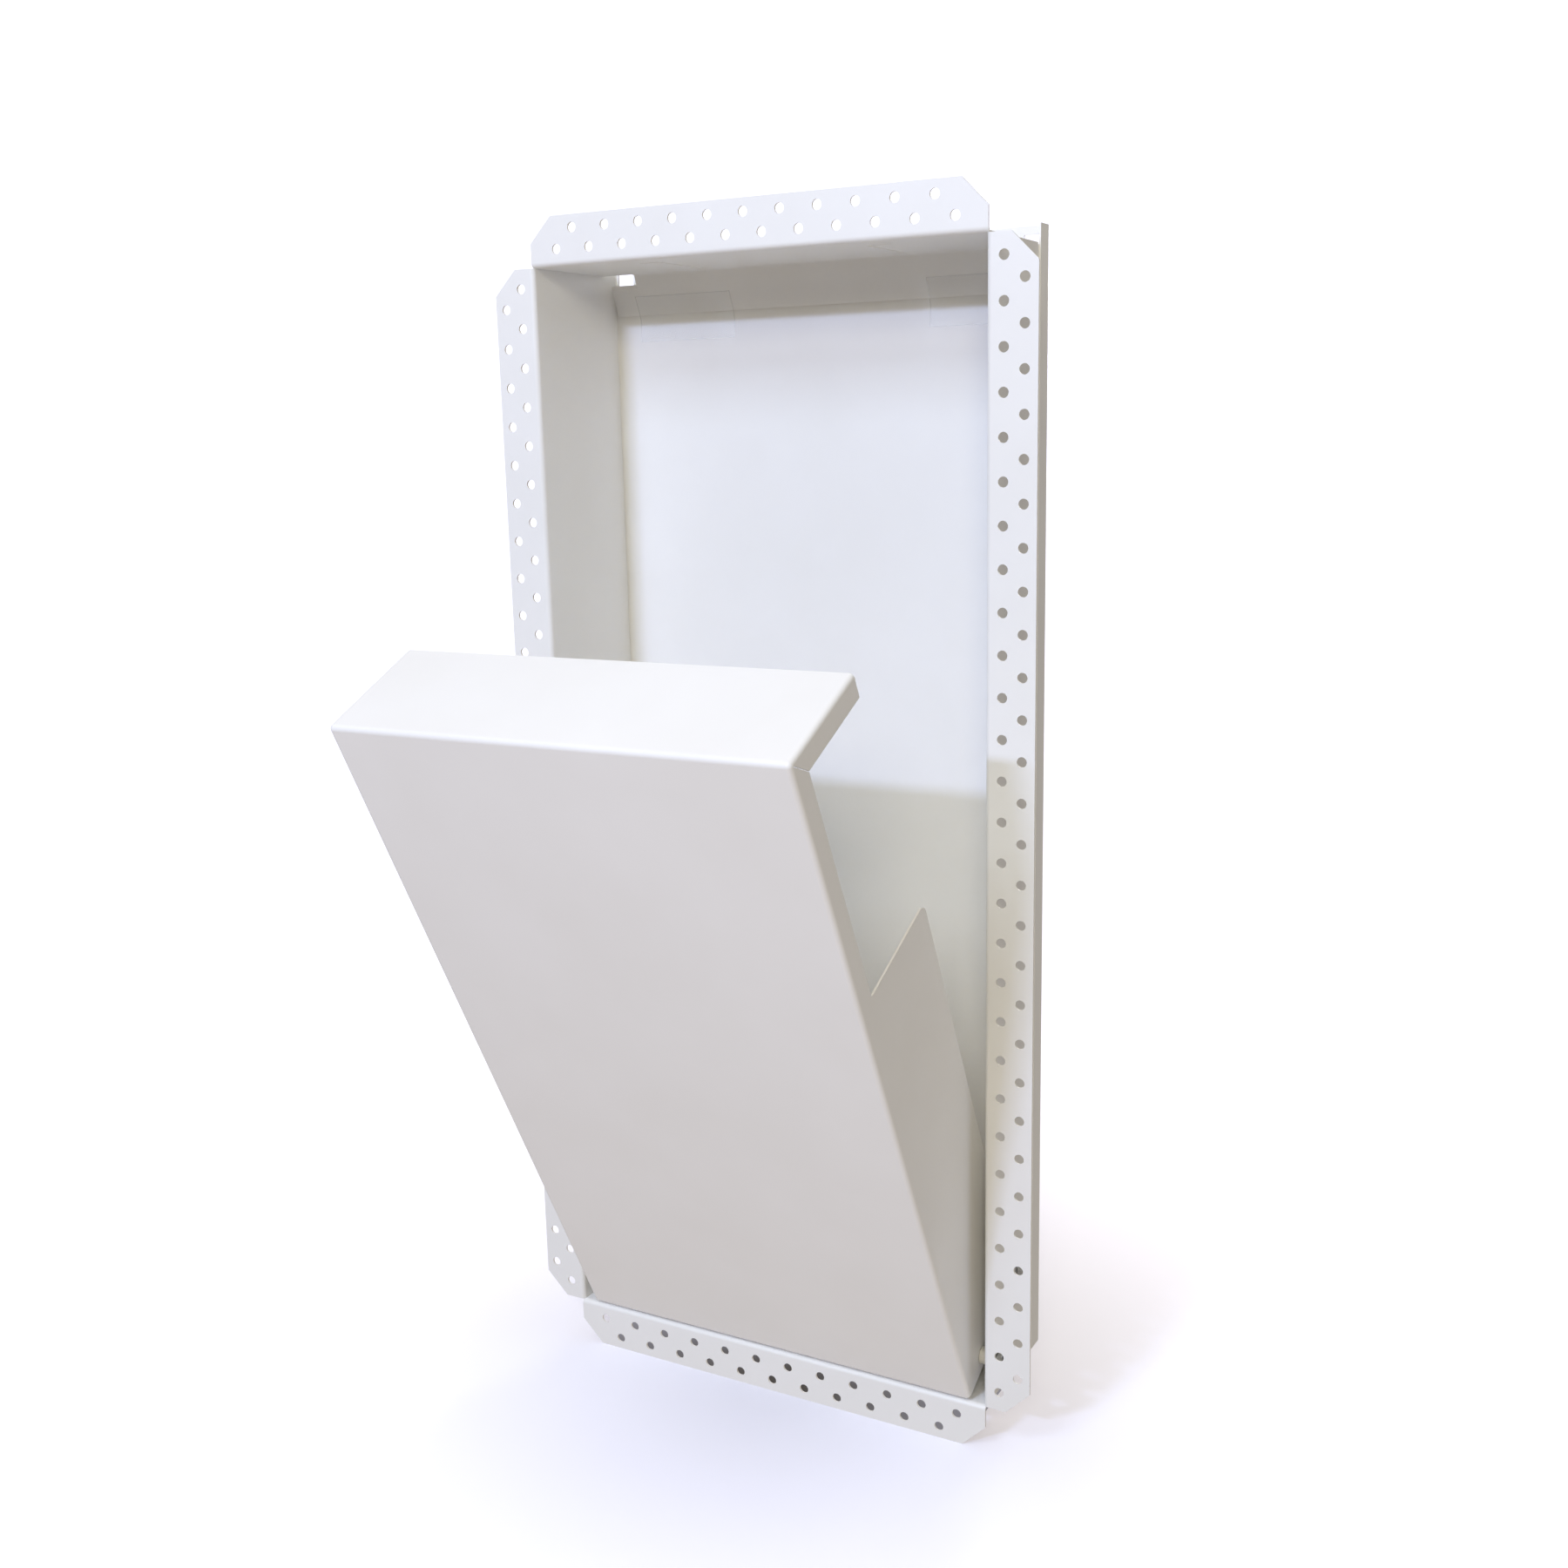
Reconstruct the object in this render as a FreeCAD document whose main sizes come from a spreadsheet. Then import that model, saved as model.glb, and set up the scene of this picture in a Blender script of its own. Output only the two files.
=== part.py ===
"""Plaster-in wall niche with a tilt-out hopper, folded from powder-coated sheet steel.

The housing is a shallow box let into a wall. Its four flanges lie against the wall's face and are
plastered over. The lower part holds a hopper that tips forward on two pivots near its bottom edge.
It is drawn with the hopper tipped fully open.

Frame: X to the right, Y into the wall, Z up. The origin is the centre of the opening, on the
plane where the flanges rest against the wall.
"""
import FreeCAD, Part
import math
import os
import Sketcher

# Driving dimensions in millimetres and degrees: cell alias, value, meaning.
SIZES = [
    ("opening_width", 250, "clear width between the side walls"),
    ("opening_height", 580, "clear height between the top and bottom walls"),
    ("niche_depth", 76, "from the wall's face to the front of the back panel"),
    ("sheet", 1, "thickness of every folded sheet"),
    ("bend_radius", 1.5, "inside radius of every fold"),
    ("flange_width", 25, "plaster flange, from the opening's edge outwards"),
    ("flange_chamfer", 13, "corner cut of each flange's ends"),
    ("flange_hole", 5, "diameter of the plaster key holes"),
    ("hole_pitch", 20, "spacing of the holes along a row"),
    ("hole_edge", 8.5, "from the opening's edge to the inner row of holes"),
    ("hole_row_gap", 10, "between the inner and the outer row"),
    ("tray_fold", 13, "depth of the back tray's side folds over the side walls"),
    ("tray_rise", 10, "height of the back tray above the top wall"),
    ("window_width", 10, "light window in the back panel's top corners"),
    ("window_height", 12, "light window in the back panel's top corners"),
    ("window_side", 1, "from the side wall to the window"),
    ("window_above", 6, "part of the window that is above the top wall's underside"),
    ("return_length", 23, "sloping rear return of the top wall"),
    ("return_angle", 24, "slope of that return from upright"),
    ("return_gap", 1, "from a side wall to the end of the sloping return"),
    ("notch_width", 18, "corner notch at each end of the sloping return, from the side wall"),
    ("notch_height", 7.5, "how far the notch reaches below the top wall's underside"),
    ("upstand_margin", 11, "from a side wall to the end of the bottom wall's rear return"),
    ("upstand", 20, "rear return of the bottom wall"),
    ("lug_spacing", 116, "between the inner edges of the two bend-out lugs"),
    ("lug_width", 13, "bend-out lug in the top wall"),
    ("lug_length", 43, "bend-out lug in the top wall"),
    ("lug_front", 15, "from the wall's face to the lug's free end"),
    ("lug_slit", 1.5, "width of the cut round a lug"),
    ("film", 0.4, "thickness of the clear film patches"),
    ("film_on_slope", 10, "height of a patch on the sloping return"),
    ("film_on_back", 14, "height of a patch on the back panel"),
    ("film_inset", 15, "from a side wall to the outer edge of a patch"),
    ("left_film_width", 60, "width of the left patch"),
    ("right_film_width", 46, "width of the right patch"),
    ("side_gap", 7.5, "between each hopper cheek and its side wall"),
    ("bottom_gap", 11, "under the hopper when it is closed"),
    ("front_proud", 6, "closed hopper front ahead of the flanges, level with plaster and tile"),
    ("hopper_height", 410, "hopper front, bottom to top"),
    ("cheek_depth", 74.5, "hopper cheek, front to back"),
    ("lid_depth", 63, "hopper's top panel, front to back"),
    ("hopper_return", 12, "edge fold round the side openings of the hopper"),
    ("cheek_drop", 134, "from the hopper's top down to the cheeks"),
    ("cheek_round", 5, "rounded top corner of each cheek"),
    ("mitre_gap", 0.4, "open seam where two edge folds meet"),
    ("pan_height", 16, "upturned rim of the hopper's floor pan"),
    ("pivot_depth", 22, "pivot axis behind the hopper's front face"),
    ("pivot_height", 8, "pivot axis above the hopper's bottom edge"),
    ("open_angle", 26.2, "tilt of the open hopper"),
    ("shoulder", 6, "diameter of the pivot screws' shoulders"),
    ("running_clearance", 0.05, "radial play of the bushes on the shoulders"),
    ("seat_clearance", 0.02, "radial play of parts that don't turn on each other"),
    ("bush_diameter", 8, "pivot bush where it passes through the cheek"),
    ("bush_flange", 10.5, "diameter of the bush's flange"),
    ("bush_flange_thickness", 1, "thickness of the bush's flange"),
    ("end_play", 0.3, "side play of the hopper at each pivot"),
    ("spacer_diameter", 9, "pivot spacer"),
    ("thread", 4, "thread diameter of every screw"),
    ("wall_hole", 4.4, "screw holes in the side walls"),
    ("screw_head", 9, "diameter of the screws' heads"),
    ("screw_head_height", 2.7, "height of the screws' heads"),
    ("socket", 2.5, "hexagon socket of the screws, across flats"),
    ("socket_depth", 1.5, "depth of that socket"),
    ("thread_spare", 1, "thread left showing past a nut"),
    ("nut_flats", 7, "nut, across flats"),
    ("nut_thickness", 3.2, "nut thickness"),
    ("washer_diameter", 9, "washer outside diameter"),
    ("washer_thickness", 0.8, "washer thickness"),
    ("stop_radius", 48, "stop screw from the pivot axis"),
    ("stop_start", 25, "angle of the slot's rear end above the hopper's floor line"),
    ("stop_sleeve", 7, "outside diameter of the rubber stop sleeve"),
    ("slot_play", 0.3, "gap between the sleeve and the slot all round"),
]

doc = FreeCAD.newDocument("tilt_out_niche")
sheet = doc.addObject("Spreadsheet::Sheet", "Sizes")
for row, (alias, value, meaning) in enumerate(SIZES, 1):
    sheet.set(f"A{row}", meaning)
    sheet.set(f"B{row}", str(value))
    sheet.setAlias(f"B{row}", alias)
doc.recompute()

# Expressions that several sub-parts share.
HALF_WIDTH = "Sizes.opening_width / 2"
HALF_HEIGHT = "Sizes.opening_height / 2"
OUTER_BEND = "(Sizes.bend_radius + Sizes.sheet)"
HOPPER_HALF = "(Sizes.opening_width / 2 - Sizes.side_gap)"
HOPPER_FRONT = "(-Sizes.pivot_depth)"
HOPPER_BASE = "(-Sizes.pivot_height)"
HOPPER_TOP = "(Sizes.hopper_height - Sizes.pivot_height)"
PIVOT_Y = "(Sizes.pivot_depth - Sizes.front_proud - Sizes.sheet)"
PIVOT_Z = "(Sizes.bottom_gap + Sizes.pivot_height - Sizes.opening_height / 2)"
STOP_Y = f"({PIVOT_Y} + Sizes.stop_radius * cos(Sizes.stop_start + Sizes.open_angle))"
STOP_Z = f"({PIVOT_Z} + Sizes.stop_radius * sin(Sizes.stop_start + Sizes.open_angle))"
WALL_OUTSIDE = "(Sizes.opening_width / 2 + Sizes.sheet)"
THREAD_END = (f"({WALL_OUTSIDE} + Sizes.washer_thickness + Sizes.nut_thickness"
              " + Sizes.thread_spare)")
SLOT_WIDTH = "(Sizes.stop_sleeve + 2 * Sizes.slot_play)"
PAST = "5"  # how far a cutting outline runs past the sheet's edge


def value(expression):
    """The number that an expression on the sheet stands for."""
    return float(sheet.evalExpression(expression))


def bind(thing, **properties):
    """Bind properties of an object to expressions; a double underscore stands for a dot."""
    for name, expression in properties.items():
        thing.setExpression(name.replace("__", "."), expression)


def new_body(label):
    """A PartDesign body that is one sub-part."""
    body = doc.addObject("PartDesign::Body", label)
    body.Label = label
    return body


def new_sketch(body, name, plane, offset="0"):
    """A sketch on one of the body's origin planes, moved along that plane's normal."""
    sketch = body.newObject("Sketcher::SketchObject", f"{body.Label}_{name}")
    support = next(item for item in body.Origin.OriginFeatures if item.Role == plane)
    sketch.AttachmentSupport = [(support, "")]
    sketch.MapMode = "FlatFace"
    bind(sketch, AttachmentOffset__Base__z=offset)
    return sketch


def hold(sketch, kind, *geometry, size):
    """Add a dimension to the sketch and bind it to an expression."""
    index = sketch.addConstraint(Sketcher.Constraint(kind, *geometry, value(size)))
    sketch.setExpression(f"Constraints[{index}]", size)


def hold_point(sketch, geometry, point, x, y):
    """Place one point of the sketch by its two distances from the sketch's origin."""
    hold(sketch, "DistanceX", -1, 1, geometry, point, size=x)
    hold(sketch, "DistanceY", -1, 1, geometry, point, size=y)


def add_outline(sketch, corners):
    """Closed outline of straight lines through corners, each a pair of expressions."""
    first = sketch.GeometryCount
    points = [FreeCAD.Vector(value(x), value(y), 0) for x, y in corners]
    for start, end in zip(points, points[1:] + points[:1]):
        sketch.addGeometry(Part.LineSegment(start, end))
    for side, (x, y) in enumerate(corners):
        following = (side + 1) % len(corners)
        sketch.addConstraint(Sketcher.Constraint("Coincident", first + side, 2, first + following, 1))
        hold_point(sketch, first + side, 1, x, y)


def add_rectangle(sketch, x_low, x_high, y_low, y_high):
    """Closed rectangle between four expressions."""
    add_outline(sketch, [(x_low, y_low), (x_high, y_low), (x_high, y_high), (x_low, y_high)])


def add_circle(sketch, x, y, diameter):
    """Circle at a point, by its diameter."""
    centre = FreeCAD.Vector(value(x), value(y), 0)
    index = sketch.addGeometry(Part.Circle(centre, FreeCAD.Vector(0, 0, 1), value(diameter) / 2))
    hold_point(sketch, index, 3, x, y)
    hold(sketch, "Diameter", index, size=diameter)


def add_arc_slot(sketch, radius, width, start, sweep):
    """Slot with round ends that follows an arc about the sketch's origin."""
    middle, half = value(radius), value(width) / 2
    low = math.radians(value(start))
    high = low + math.radians(value(sweep))

    def arc(centre, size, begin, end):
        circle = Part.Circle(centre, FreeCAD.Vector(0, 0, 1), size)
        return sketch.addGeometry(Part.ArcOfCircle(circle, begin, end))

    def on_path(angle):
        return FreeCAD.Vector(middle * math.cos(angle), middle * math.sin(angle), 0)

    outer = arc(FreeCAD.Vector(), middle + half, low, high)
    high_cap = arc(on_path(high), half, high, high + math.pi)
    inner = arc(FreeCAD.Vector(), middle - half, low, high)
    low_cap = arc(on_path(low), half, low - math.pi, low)
    for first, first_end, second, second_end in ((outer, 2, high_cap, 1), (high_cap, 2, inner, 2),
                                                 (inner, 1, low_cap, 1), (low_cap, 2, outer, 1)):
        sketch.addConstraint(Sketcher.Constraint("Tangent", first, first_end, second, second_end))
    sketch.addConstraint(Sketcher.Constraint("Coincident", outer, 3, -1, 1))
    sketch.addConstraint(Sketcher.Constraint("Coincident", inner, 3, -1, 1))
    hold_point(sketch, low_cap, 3, f"{radius} * cos({start})", f"{radius} * sin({start})")
    hold(sketch, "DistanceY", -1, 1, high_cap, 3, size=f"{radius} * sin({start} + {sweep})")
    hold(sketch, "Radius", outer, size=f"{radius} + {width} / 2")


def add_pad(body, sketch, length, both_ways=False, reverse=False):
    """Pad a sketch by an expression."""
    pad = body.newObject("PartDesign::Pad", f"{sketch.Name}_pad")
    pad.Profile = sketch
    pad.SideType = "Symmetric" if both_ways else "One side"
    pad.Reversed = reverse
    bind(pad, Length=length)
    doc.recompute()
    return pad


def cut_through(body, sketch):
    """Cut a sketch's outline through the whole body, both ways."""
    pocket = body.newObject("PartDesign::Pocket", f"{sketch.Name}_cut")
    pocket.Profile = sketch
    pocket.Type = "ThroughAll"
    pocket.SideType = "Symmetric"
    doc.recompute()
    return pocket


def cut_to_depth(body, sketch, depth, reverse=False):
    """Cut a sketch's outline to a depth: against the plane's normal, or along it if reversed."""
    pocket = body.newObject("PartDesign::Pocket", f"{sketch.Name}_cut")
    pocket.Profile = sketch
    pocket.Reversed = reverse
    bind(pocket, Length=depth)
    doc.recompute()
    return pocket


def edges_at(body, **place):
    """Names of the body's straight edges that lie at the given x, y or z all along."""
    wanted = {axis: value(expression) for axis, expression in place.items()}
    names = []
    for index, edge in enumerate(body.Tip.Shape.Edges, 1):
        ends = [vertex.Point for vertex in edge.Vertexes]
        straight = len(ends) == 2 and isinstance(edge.Curve, Part.Line)
        lies_there = all(abs(getattr(end, axis) - at) < 0.01 for end in ends for axis, at in wanted.items())
        if straight and lies_there:
            names.append(f"Edge{index}")
    if not names:
        raise ValueError(f"{body.Label} has no edge at {wanted}")
    return names


def round_edges(body, name, edges, radius):
    """Fillet the named edges of the body's last feature."""
    fillet = body.newObject("PartDesign::Fillet", f"{body.Label}_{name}")
    fillet.Base = (fillet.BaseFeature, edges)
    bind(fillet, Radius=radius)
    doc.recompute()
    return fillet


def repeat(body, feature, axis, count, pitch):
    """Repeat a feature along one of the body's origin axes."""
    pattern = body.newObject("PartDesign::LinearPattern", f"{feature.Name}_row")
    pattern.Originals = [feature]
    line = next(item for item in body.Origin.OriginFeatures if item.Role == axis)
    pattern.Direction = (line, [""])
    pattern.Mode = "Spacing"
    bind(pattern, Offset=pitch, Occurrences=count)
    body.Tip = pattern
    doc.recompute()
    return pattern


# ---------------------------------------------------------------- housing

def flanged_profile(label, opening_edge, length, run, rest_of_section, bends, turn):
    """One side of the housing: a perforated flange and the wall folded back from it.

    It is drawn as the right-hand side: X away from the opening, Y into the wall, Z along the
    side. turn then swings it about Y to its own side of the opening. opening_edge is the distance
    from the centre to the wall's inner face, and run is the length that the hole rows fill.
    """
    body = new_body(label)
    section = new_sketch(body, "section", "XY_Plane")
    flange_edge = f"{opening_edge} + Sizes.flange_width"
    add_outline(section, [
        (opening_edge, "-Sizes.sheet"),
        (flange_edge, "-Sizes.sheet"),
        (flange_edge, "0"),
        (f"{opening_edge} + Sizes.sheet", "0"),
        *rest_of_section,
    ])
    add_pad(body, section, length, both_ways=True)
    for number, (x, y, radius) in enumerate(bends, 1):
        round_edges(body, f"bend_{number}", edges_at(body, x=x, y=y), radius)

    corners = [name for end in ("", "-") for name in edges_at(body, x=flange_edge, z=f"{end}({length}) / 2")]
    chamfer = body.newObject("PartDesign::Chamfer", f"{label}_corners")
    chamfer.Base = (chamfer.BaseFeature, corners)
    bind(chamfer, Size="Sizes.flange_chamfer")
    doc.recompute()

    inner_count = f"floor({run} / Sizes.hole_pitch)"
    inner_row = f"{opening_edge} + Sizes.hole_edge"
    rows = (("inner", inner_row, inner_count),
            ("outer", f"{inner_row} + Sizes.hole_row_gap", f"({inner_count} - 1)"))
    for name, x, count in rows:
        first_hole = new_sketch(body, f"{name}_hole", "XZ_Plane")
        add_circle(first_hole, x, f"-({count} - 1) * Sizes.hole_pitch / 2", "Sizes.flange_hole")
        repeat(body, cut_through(body, first_hole), "Z_Axis", count, "Sizes.hole_pitch")
    body.Placement = FreeCAD.Placement(FreeCAD.Vector(), FreeCAD.Rotation(FreeCAD.Vector(0, 1, 0), turn))
    return body


def flange_bends(opening_edge):
    """The fold between flange and wall: outside then inside corner, with their radii."""
    return [(opening_edge, "-Sizes.sheet", OUTER_BEND),
            (f"{opening_edge} + Sizes.sheet", "0", "Sizes.bend_radius")]


def side_profile(label, turn, upright):
    """Side flange and wall, with the holes for the pivot screw and the stop screw."""
    wall_end = "Sizes.niche_depth - Sizes.bend_radius"
    section = [(f"{HALF_WIDTH} + Sizes.sheet", wall_end), (HALF_WIDTH, wall_end)]
    body = flanged_profile(label, HALF_WIDTH, "Sizes.opening_height", "Sizes.opening_height",
                           section, flange_bends(HALF_WIDTH), turn)
    screw_holes = new_sketch(body, "screw_holes", "YZ_Plane")
    add_circle(screw_holes, PIVOT_Y, f"{upright}{PIVOT_Z}", "Sizes.wall_hole")
    add_circle(screw_holes, STOP_Y, f"{upright}{STOP_Z}", "Sizes.wall_hole")
    cut_through(body, screw_holes)


def trim_return(body, name, margin, cut_from, cut_to=f"Sizes.niche_depth + {PAST}"):
    """Cut both ends of a wall's rear return back to margin from the side walls, between two depths."""
    ends = new_sketch(body, name, "YZ_Plane")
    return_half = f"({HALF_WIDTH} - {margin})"
    past_end = f"({HALF_WIDTH} + {PAST})"
    add_rectangle(ends, cut_from, cut_to, return_half, past_end)
    add_rectangle(ends, cut_from, cut_to, f"-{past_end}", f"-{return_half}")
    cut_through(body, ends)


# The top wall's rear return leaves the wall here and slopes down to the back panel.
RETURN_FOOT = "(Sizes.niche_depth - Sizes.sheet * cos(Sizes.return_angle))"
RETURN_START = f"({RETURN_FOOT} - Sizes.return_length * sin(Sizes.return_angle))"
RETURN_DROP = "(Sizes.return_length * cos(Sizes.return_angle))"


def top_profile():
    """Top flange and wall, whose sloping rear return meets the back panel."""
    across, along = "Sizes.sheet * sin(Sizes.return_angle)", "Sizes.sheet * cos(Sizes.return_angle)"
    outer_start = f"{RETURN_START} + Sizes.sheet * tan(45 - Sizes.return_angle / 2)"
    inner_foot = f"{HALF_HEIGHT} - {RETURN_DROP}"
    section = [
        (f"{HALF_HEIGHT} + Sizes.sheet", outer_start),
        (f"{inner_foot} + {across}", f"{RETURN_FOOT} + {along}"),
        (inner_foot, RETURN_FOOT),
        (HALF_HEIGHT, RETURN_START),
    ]
    bends = flange_bends(HALF_HEIGHT) + [
        (f"{HALF_HEIGHT} + Sizes.sheet", outer_start, OUTER_BEND),
        (HALF_HEIGHT, RETURN_START, "Sizes.bend_radius"),
    ]
    body = flanged_profile("top_profile", HALF_HEIGHT, "Sizes.opening_width + 2 * Sizes.sheet",
                           "Sizes.opening_width", section, bends, -90)
    return_bend = f"{RETURN_START} - {OUTER_BEND}"
    trim_return(body, "return_ends", "Sizes.return_gap", return_bend)
    notch_foot = f"{RETURN_START} + Sizes.notch_height * tan(Sizes.return_angle)"
    trim_return(body, "corner_notches", "Sizes.notch_width", return_bend, notch_foot)

    lugs = new_sketch(body, "lug_slits", "YZ_Plane")
    front, back = "Sizes.lug_front", "(Sizes.lug_front + Sizes.lug_length)"
    for side in ("", "-"):
        inner = f"{side}Sizes.lug_spacing / 2"
        outer = f"{side}(Sizes.lug_spacing / 2 + Sizes.lug_width)"
        slit = f"{side}(Sizes.lug_spacing / 2 + Sizes.lug_slit)"
        add_outline(lugs, [(front, inner), (back, inner), (back, slit), (f"{front} + Sizes.lug_slit", slit),
                           (f"{front} + Sizes.lug_slit", outer), (front, outer)])
    cut_through(body, lugs)


def bottom_profile():
    """Bottom flange and wall, with a rear return folded up against the back panel."""
    section = [
        (f"{HALF_HEIGHT} + Sizes.sheet", "Sizes.niche_depth"),
        (f"{HALF_HEIGHT} - Sizes.upstand", "Sizes.niche_depth"),
        (f"{HALF_HEIGHT} - Sizes.upstand", "Sizes.niche_depth - Sizes.sheet"),
        (HALF_HEIGHT, "Sizes.niche_depth - Sizes.sheet"),
    ]
    bends = flange_bends(HALF_HEIGHT) + [
        (f"{HALF_HEIGHT} + Sizes.sheet", "Sizes.niche_depth", OUTER_BEND),
        (HALF_HEIGHT, "Sizes.niche_depth - Sizes.sheet", "Sizes.bend_radius"),
    ]
    body = flanged_profile("bottom_profile", HALF_HEIGHT, "Sizes.opening_width + 2 * Sizes.sheet",
                           "Sizes.opening_width", section, bends, 90)
    trim_return(body, "return_ends", "Sizes.upstand_margin", f"Sizes.niche_depth - 2 * {OUTER_BEND}")


def back_tray():
    """Back panel with side folds that wrap the side walls, and a light window in each top corner."""
    body = new_body("back_tray")
    section = new_sketch(body, "section", "XY_Plane", f"-({HALF_HEIGHT} + Sizes.sheet)")
    inside = WALL_OUTSIDE
    outside = f"({HALF_WIDTH} + 2 * Sizes.sheet)"
    back = "Sizes.niche_depth + Sizes.sheet"
    fold_edge = f"{back} - Sizes.tray_fold"
    add_outline(section, [
        (f"-{outside}", fold_edge), (f"-{outside}", back), (outside, back), (outside, fold_edge),
        (inside, fold_edge), (inside, "Sizes.niche_depth"), (f"-{inside}", "Sizes.niche_depth"),
        (f"-{inside}", fold_edge),
    ])
    add_pad(body, section, "Sizes.opening_height + Sizes.sheet + Sizes.tray_rise")
    outer_edges = edges_at(body, x=outside, y=back) + edges_at(body, x=f"-{outside}", y=back)
    round_edges(body, "outer_bends", outer_edges, OUTER_BEND)
    inner_edges = edges_at(body, x=inside, y="Sizes.niche_depth")
    inner_edges += edges_at(body, x=f"-{inside}", y="Sizes.niche_depth")
    round_edges(body, "inner_bends", inner_edges, "Sizes.bend_radius")

    windows = new_sketch(body, "windows", "XZ_Plane")
    near = f"({HALF_WIDTH} - Sizes.window_side)"
    far = f"({HALF_WIDTH} - Sizes.window_side - Sizes.window_width)"
    top = f"{HALF_HEIGHT} + Sizes.window_above"
    bottom = f"{top} - Sizes.window_height"
    add_rectangle(windows, far, near, bottom, top)
    add_rectangle(windows, f"-{near}", f"-{far}", bottom, top)
    cut_through(body, windows)


def film_patch(label, start, width):
    """Clear film that bridges the foot of the sloping return and the back panel."""
    body = new_body(label)
    section = new_sketch(body, "section", "YZ_Plane", start)
    foot = f"({HALF_HEIGHT} - {RETURN_DROP})"
    on_slope = (f"{RETURN_FOOT} - Sizes.film_on_slope * tan(Sizes.return_angle)",
                f"{foot} + Sizes.film_on_slope")
    on_foot = (RETURN_FOOT, foot)
    on_panel = ("Sizes.niche_depth", f"{foot} - Sizes.bend_radius")
    lower_end = ("Sizes.niche_depth", f"{foot} - Sizes.film_on_back")
    behind = [on_slope, on_foot, on_panel, lower_end]
    front = [(f"{y} - Sizes.film", z) for y, z in reversed(behind)]
    add_outline(section, behind + front)
    add_pad(body, section, width)


# ---------------------------------------------------------------- hopper

def tip_open(body):
    """Hang a hopper part, drawn upright about the pivot axis, at the open tilt."""
    body.Placement = FreeCAD.Placement(FreeCAD.Vector(), FreeCAD.Rotation(FreeCAD.Vector(1, 0, 0), 1))
    bind(body, Placement__Base__y=PIVOT_Y, Placement__Base__z=PIVOT_Z,
         Placement__Rotation__Angle="Sizes.open_angle")


def hopper_shell():
    """Hopper front, top and cheeks in one folded sheet, open behind and below."""
    body = new_body("hopper_shell")
    rear = f"({HOPPER_FRONT} + Sizes.cheek_depth)"
    inner_half = f"({HOPPER_HALF} - Sizes.sheet)"
    inner_front = f"({HOPPER_FRONT} + Sizes.sheet)"
    inner_top = f"({HOPPER_TOP} - Sizes.sheet)"

    block = new_sketch(body, "block", "XY_Plane", HOPPER_BASE)
    add_rectangle(block, f"-{HOPPER_HALF}", HOPPER_HALF, HOPPER_FRONT, rear)
    add_pad(body, block, "Sizes.hopper_height")
    inside = new_sketch(body, "inside", "XY_Plane", HOPPER_BASE)
    add_rectangle(inside, f"-{inner_half}", inner_half, inner_front, f"{rear} + {PAST}")
    cut_to_depth(body, inside, "Sizes.hopper_height - Sizes.sheet", reverse=True)
    skins = (("inner", inner_half, inner_front, inner_top, "Sizes.bend_radius"),
             ("outer", HOPPER_HALF, HOPPER_FRONT, HOPPER_TOP, OUTER_BEND))
    for skin, half, front, top, radius in skins:
        round_edges(body, f"{skin}_bends", [
            *edges_at(body, x=half, y=front), *edges_at(body, x=f"-{half}", y=front),
            *edges_at(body, x=half, z=top), *edges_at(body, x=f"-{half}", z=top),
            *edges_at(body, y=front, z=top),
        ], radius)

    openings = new_sketch(body, "side_openings", "YZ_Plane")
    fold_y, fold_z = f"{HOPPER_FRONT} + Sizes.hopper_return", f"{HOPPER_TOP} - Sizes.hopper_return"
    lid_edge, cheek_top = f"{HOPPER_FRONT} + Sizes.lid_depth", f"{HOPPER_TOP} - Sizes.cheek_drop"
    add_outline(openings, [
        (fold_y, cheek_top), (f"{rear} + {PAST}", cheek_top), (f"{rear} + {PAST}", f"{HOPPER_TOP} + {PAST}"),
        (lid_edge, f"{HOPPER_TOP} + {PAST}"), (lid_edge, fold_z), (fold_y, fold_z),
    ])
    cut_through(body, openings)
    round_edges(body, "cheek_corners", edges_at(body, y=rear, z=cheek_top), "Sizes.cheek_round")
    round_edges(body, "fold_corners", edges_at(body, y=fold_y, z=cheek_top), "Sizes.bend_radius")

    pivot_holes = new_sketch(body, "pivot_holes", "YZ_Plane")
    add_circle(pivot_holes, "0", "0", "Sizes.bush_diameter")
    cut_through(body, pivot_holes)
    stop_slots = new_sketch(body, "stop_slots", "YZ_Plane")
    add_arc_slot(stop_slots, "Sizes.stop_radius", SLOT_WIDTH, "Sizes.stop_start", "Sizes.open_angle")
    cut_through(body, stop_slots)

    half_seam = "Sizes.mitre_gap * sin(45) / 2"
    for name, side, along_normal in (("right", "", False), ("left", "-", True)):
        seam = new_sketch(body, f"{name}_mitre", "YZ_Plane", f"{side}{HOPPER_HALF}")
        add_outline(seam, [
            (f"{fold_y} + Sizes.sheet + {half_seam}", f"{fold_z} - Sizes.sheet + {half_seam}"),
            (f"{fold_y} + Sizes.sheet - {half_seam}", f"{fold_z} - Sizes.sheet - {half_seam}"),
            (f"{HOPPER_FRONT} + {OUTER_BEND} - {half_seam}", f"{HOPPER_TOP} - {OUTER_BEND} - {half_seam}"),
            (f"{HOPPER_FRONT} + {OUTER_BEND} + {half_seam}", f"{HOPPER_TOP} - {OUTER_BEND} + {half_seam}"),
        ])
        cut_to_depth(body, seam, "Sizes.sheet", reverse=along_normal)
    tip_open(body)


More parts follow.
